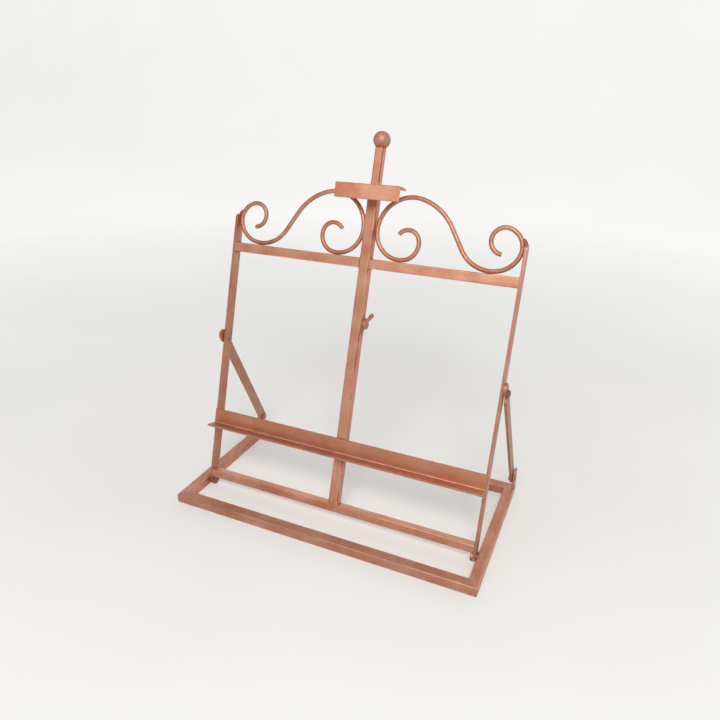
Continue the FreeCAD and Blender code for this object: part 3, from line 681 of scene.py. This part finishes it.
def base_welds():
    """Beads inside the base's corners, and along the feet of the strut lugs."""
    above_table = 1.2 * MM
    below_top = 0.6 * MM
    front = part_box("base_front_bar")[1]
    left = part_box("base_left_bar")[1]
    inner_x = abs(left.x)
    inner_y = abs(front.y)
    bar_top = front.z
    for x_tag, x_sign in SIDES:
        for y_tag, y_sign in (("back", 1), ("front", -1)):
            x, y = x_sign * inner_x, y_sign * inner_y
            weld_bead(f"weld_base_{x_tag}_{y_tag}", (x, y, above_table),
                      (x, y, bar_top - below_top), TACK_BEAD, "base")
        low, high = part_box(f"{x_tag}_strut_lug")
        for face_tag, x in (("in", low.x), ("out", high.x)):
            weld_bead(f"weld_lug_{x_tag}_{face_tag}", (x, low.y + SHORT_OF_CORNER, bar_top),
                      (x, high.y - SHORT_OF_CORNER, bar_top), TACK_BEAD, "base")


def mast_welds():
    """The clamp's bead on the mast, and the ball's."""
    low, high = leaned_box("slide_bar")
    clamp_top = leaned_box("clamp_angle")[1].y
    leaned_bead("weld_clamp", (low.x + SHORT_OF_CORNER, clamp_top, low.z),
                (high.x - SHORT_OF_CORNER, clamp_top, low.z), BAR_BEAD, "mast")
    middle = (low + high) / 2
    weld_ring("weld_ball", on_frame(middle.x, high.y, middle.z), UP, high.x + ROUND_MAST,
              BALL_BEAD, "mast", weld_paint)


# ---------------------------------------------------------------- studio

CAMERA_PLACE = Vector((0.2652, -0.5806, 0.4743))
CAMERA_AZIMUTH = math.radians(23.58)
CAMERA_ELEVATION = math.radians(24.09)
CAMERA_ROLL = math.radians(0.83)
FOCAL_LENGTH_MM = 30.8
SENSOR_WIDTH_MM = 36.0
CLIP_START = 0.01

FLOOR_HALF_WIDTH = 6.0
FLOOR_FRONT = -4.0
FLOOR_BACK = 1.6
FLOOR_BEND = 1.2
FLOOR_BEND_STEPS = 16
FLOOR_WALL_TOP = 5.0

WALL_RADIUS = 3.9
WALL_BEND = 1.6
WALL_BEND_STEPS = 12
WALL_TOP = 8.0
WALL_SIDES = 64

SKY_COLOUR = (0.95, 0.97, 1.0, 1.0)
SKY_STRENGTH = 0.34
LIGHTS_AIM = (0, 0, 0.25)


def set_camera():
    """The camera at its place, turned by its azimuth, elevation and roll."""
    level_ahead = math.cos(CAMERA_ELEVATION)
    ahead = Vector((-math.sin(CAMERA_AZIMUTH) * level_ahead,
                    math.cos(CAMERA_AZIMUTH) * level_ahead,
                    -math.sin(CAMERA_ELEVATION)))
    level = ahead.cross(Vector((0, 0, 1))).normalized()
    upright = level.cross(ahead)
    right = math.cos(CAMERA_ROLL) * level + math.sin(CAMERA_ROLL) * upright
    above = math.cos(CAMERA_ROLL) * upright - math.sin(CAMERA_ROLL) * level
    data = bpy.data.cameras.new("camera")
    data.lens = FOCAL_LENGTH_MM
    data.sensor_width = SENSOR_WIDTH_MM
    data.clip_start = CLIP_START
    camera = bpy.data.objects.new("camera", data)
    turn = Matrix((right, above, -ahead)).transposed().to_4x4()
    camera.matrix_world = Matrix.Translation(CAMERA_PLACE) @ turn
    bpy.context.scene.collection.objects.link(camera)
    bpy.context.scene.camera = camera


def curve_up(out, bend, steps, top):
    """Points, each as out and up, of a floor's end that curves up into a wall."""
    points = []
    for k in range(1, steps + 1):
        angle = math.pi / 2 * k / steps
        points.append((out + bend * math.sin(angle), bend * (1 - math.cos(angle))))
    return points + [(out + bend, top)]


def set_floor():
    """A floor that curves up into a wall behind."""
    mesh = bmesh.new()
    profile = [(FLOOR_FRONT, 0.0), (FLOOR_BACK, 0.0)]
    profile += curve_up(FLOOR_BACK, FLOOR_BEND, FLOOR_BEND_STEPS, FLOOR_WALL_TOP)
    rows = [[mesh.verts.new((x, y, z)) for x in (-FLOOR_HALF_WIDTH, FLOOR_HALF_WIDTH)]
            for y, z in profile]
    for first, second in zip(rows, rows[1:]):
        mesh.faces.new((first[0], first[1], second[1], second[0]))
    floor = new_object("studio_floor", mesh, studio_floor())


def set_wall():
    """A pale round wall outside the floor, which lights nothing: it only ends the view."""
    mesh = bmesh.new()
    profile = [(WALL_RADIUS, -MM)]
    profile += curve_up(WALL_RADIUS, WALL_BEND, WALL_BEND_STEPS, WALL_TOP)
    turns = [math.tau * k / WALL_SIDES for k in range(WALL_SIDES)]
    skin(mesh, [[mesh.verts.new((radius * math.cos(turn), radius * math.sin(turn), z))
                 for turn in turns] for radius, z in profile])
    wall = new_object("studio_wall", mesh, studio_wall())
    wall.visible_diffuse = False
    wall.visible_glossy = False
    wall.visible_shadow = False


def soft_light(name, place, size, power, colour):
    """A rectangular light that looks at the easel's middle."""
    data = bpy.data.lights.new(name, "AREA")
    data.shape = "RECTANGLE"
    data.size, data.size_y = size
    data.energy = power
    data.color = colour
    light = bpy.data.objects.new(name, data)
    light.location = place
    aim = Vector(LIGHTS_AIM) - Vector(place)
    light.rotation_euler = aim.to_track_quat("-Z", "Y").to_euler()
    bpy.context.scene.collection.objects.link(light)


def set_lights():
    """A dim even sky, a soft key light from the front and a weak one from the right."""
    world = bpy.data.worlds.new("studio")
    world.use_nodes = True
    preset(world.node_tree.nodes["Background"],
           {"Color": SKY_COLOUR, "Strength": SKY_STRENGTH})
    bpy.context.scene.world = world
    soft_light("key", place=(0.35, -1.15, 1.3), size=(0.8, 0.6), power=19.5,
               colour=(1.0, 0.98, 0.95))
    soft_light("side", place=(1.4, 0.3, 1.0), size=(0.9, 0.9), power=1.2,
               colour=(1.0, 0.98, 0.96))
    bpy.context.scene.view_settings.view_transform = "Standard"


dress_nodes()
frame_welds()
ledge_welds()
base_welds()
mast_welds()
set_camera()
set_floor()
set_wall()
set_lights()
